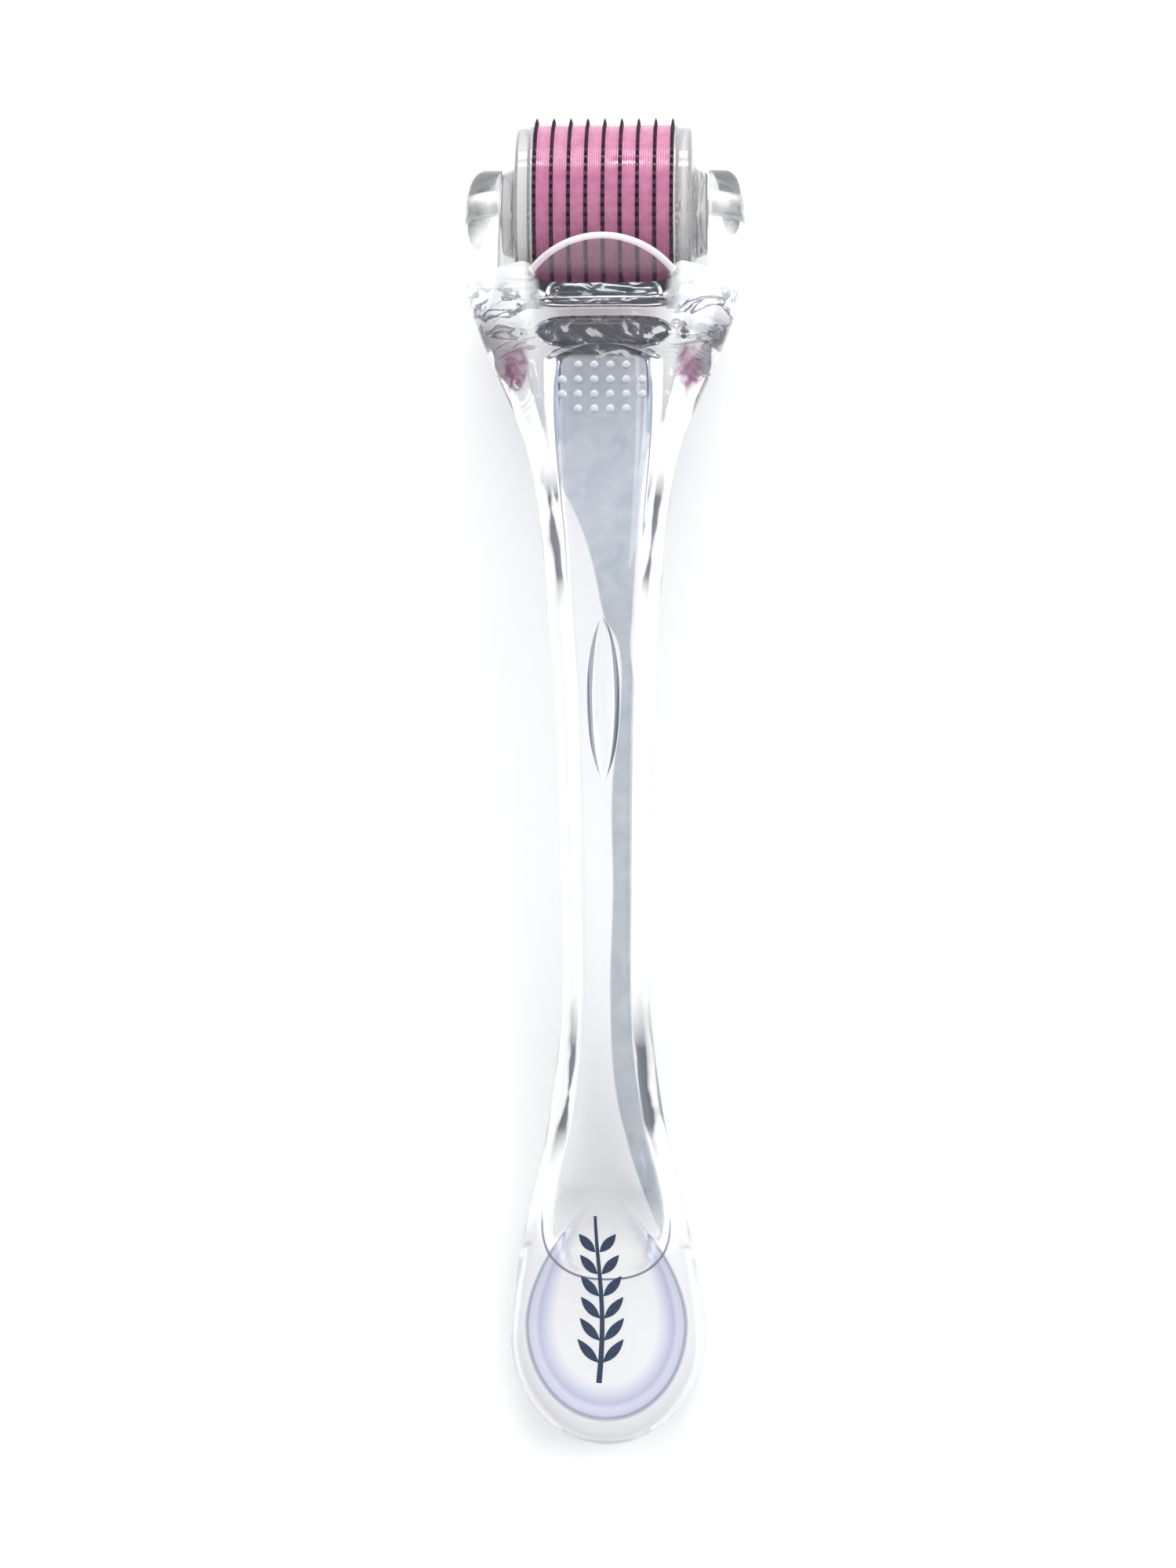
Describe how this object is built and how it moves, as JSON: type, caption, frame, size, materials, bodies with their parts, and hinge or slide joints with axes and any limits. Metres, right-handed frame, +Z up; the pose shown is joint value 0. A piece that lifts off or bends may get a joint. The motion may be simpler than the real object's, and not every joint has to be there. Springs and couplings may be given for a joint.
{
  "type": "derma roller",
  "caption": "Hand-held micro-needling roller: a clear arched handle with a rounded tail and a yoke head that carries a free-spinning pink stack of needle discs under a small hood.",
  "frame": {"origin": "under the middle of the tool's whole length and width, on the surface that it lies on", "axes": "+X along the roller's axis, +Y along the handle towards the roller, +Z up, away from the surface"},
  "size_m": [0.0296, 0.14, 0.0214],
  "materials": {
    "handle_clear": "clear polycarbonate, polished",
    "cap_clear": "clear moulded plastic",
    "spacer_pink": "pink moulded plastic",
    "needle_steel": "etched stainless sheet",
    "core_white": "plain moulded plastic",
    "print_navy": "printed ornament in the tail's dish"
  },
  "bodies": {
    "handle": {"handle": "handle_clear"},
    "roller": {"core_tube": "core_white", "end_cap_left": "cap_clear", "end_cap_right": "cap_clear", "needle_disc_1": "needle_steel", "needle_disc_2": "needle_steel", "needle_disc_3": "needle_steel", "needle_disc_4": "needle_steel", "needle_disc_5": "needle_steel", "needle_disc_6": "needle_steel", "needle_disc_7": "needle_steel", "needle_disc_8": "needle_steel", "needle_disc_9": "needle_steel", "spacer_ring_1": "spacer_pink", "spacer_ring_2": "spacer_pink", "spacer_ring_3": "spacer_pink", "spacer_ring_4": "spacer_pink", "spacer_ring_5": "spacer_pink", "spacer_ring_6": "spacer_pink", "spacer_ring_7": "spacer_pink", "spacer_ring_8": "spacer_pink"}
  },
  "joints": [
    {"name": "roller_spin", "type": "hinge", "parent": "handle", "child": "roller", "pos_m": [0, 0.06, 0.01], "axis": [1, 0, 0], "continuous": true}
  ]
}
